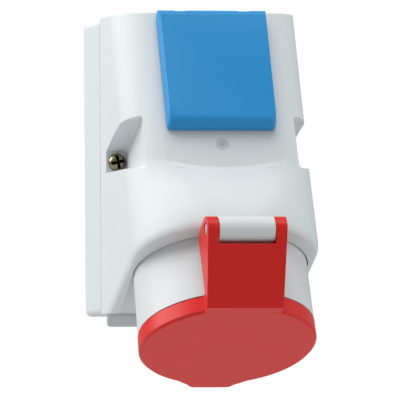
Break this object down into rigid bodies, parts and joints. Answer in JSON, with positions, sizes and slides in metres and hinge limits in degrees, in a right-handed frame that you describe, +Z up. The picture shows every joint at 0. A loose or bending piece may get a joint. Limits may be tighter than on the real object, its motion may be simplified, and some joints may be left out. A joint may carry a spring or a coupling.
{
  "type": "industrial wall socket",
  "caption": "Wall-mounted housing with an angled industrial socket under a sprung red lid and a domestic socket under a sprung blue lid.",
  "frame": {"origin": "centre of the four wall-fixing holes, on the wall plane", "axes": "+Z up the wall, +Y into the wall, +X to the right as seen from the front"},
  "size_m": [0.09, 0.1622, 0.1813],
  "materials": {
    "housing": "fine satin",
    "collar": "satin",
    "carrier": "matt",
    "red_lid": "gloss",
    "blue_lid": "semi-gloss",
    "blue_insert": "semi-gloss",
    "rubber": "matt",
    "brass": "machined",
    "yellow_zinc": "yellow zinc plate",
    "zinc_steel": "zinc plate"
  },
  "bodies": {
    "root": {"base": "housing", "rear_grommet": "rubber", "cover": "housing", "cover_gasket": "rubber", "cover_screws": "yellow_zinc", "socket_collar": "collar", "socket_gasket": "rubber", "socket_screws": "zinc_steel", "contact_carrier": "carrier", "phase_contacts": "brass", "neutral_contact": "brass", "earth_contact": "brass", "terminal_screws": "zinc_steel", "red_lid_pin": "zinc_steel", "red_lid_spring": "zinc_steel", "domestic_insert": "blue_insert", "domestic_gasket": "rubber", "domestic_screws": "zinc_steel", "domestic_carrier": "carrier", "domestic_contacts": "brass", "domestic_terminal_screws": "zinc_steel", "earth_clip": "brass", "domestic_centre_screw": "zinc_steel", "blue_lid_pin": "zinc_steel", "blue_lid_spring": "zinc_steel"},
    "red_lid_body": {"red_lid": "red_lid", "red_lid_seal": "rubber"},
    "blue_lid_body": {"blue_lid": "blue_lid", "blue_lid_seal": "rubber"}
  },
  "joints": [
    {"name": "red_lid_hinge", "type": "hinge", "parent": "root", "child": "red_lid_body", "pos_m": [0, -0.15604, -0.03492], "axis": [-1, 0, 0], "range_deg": [0, 110], "stiffness_Nm_per_rad": 0.06, "springref_deg": -57.3},
    {"name": "blue_lid_hinge", "type": "hinge", "parent": "root", "child": "blue_lid_body", "pos_m": [0, -0.08517, 0.06901], "axis": [-1, 0, 0], "range_deg": [0, 100], "stiffness_Nm_per_rad": 0.02, "springref_deg": -57.3}
  ]
}
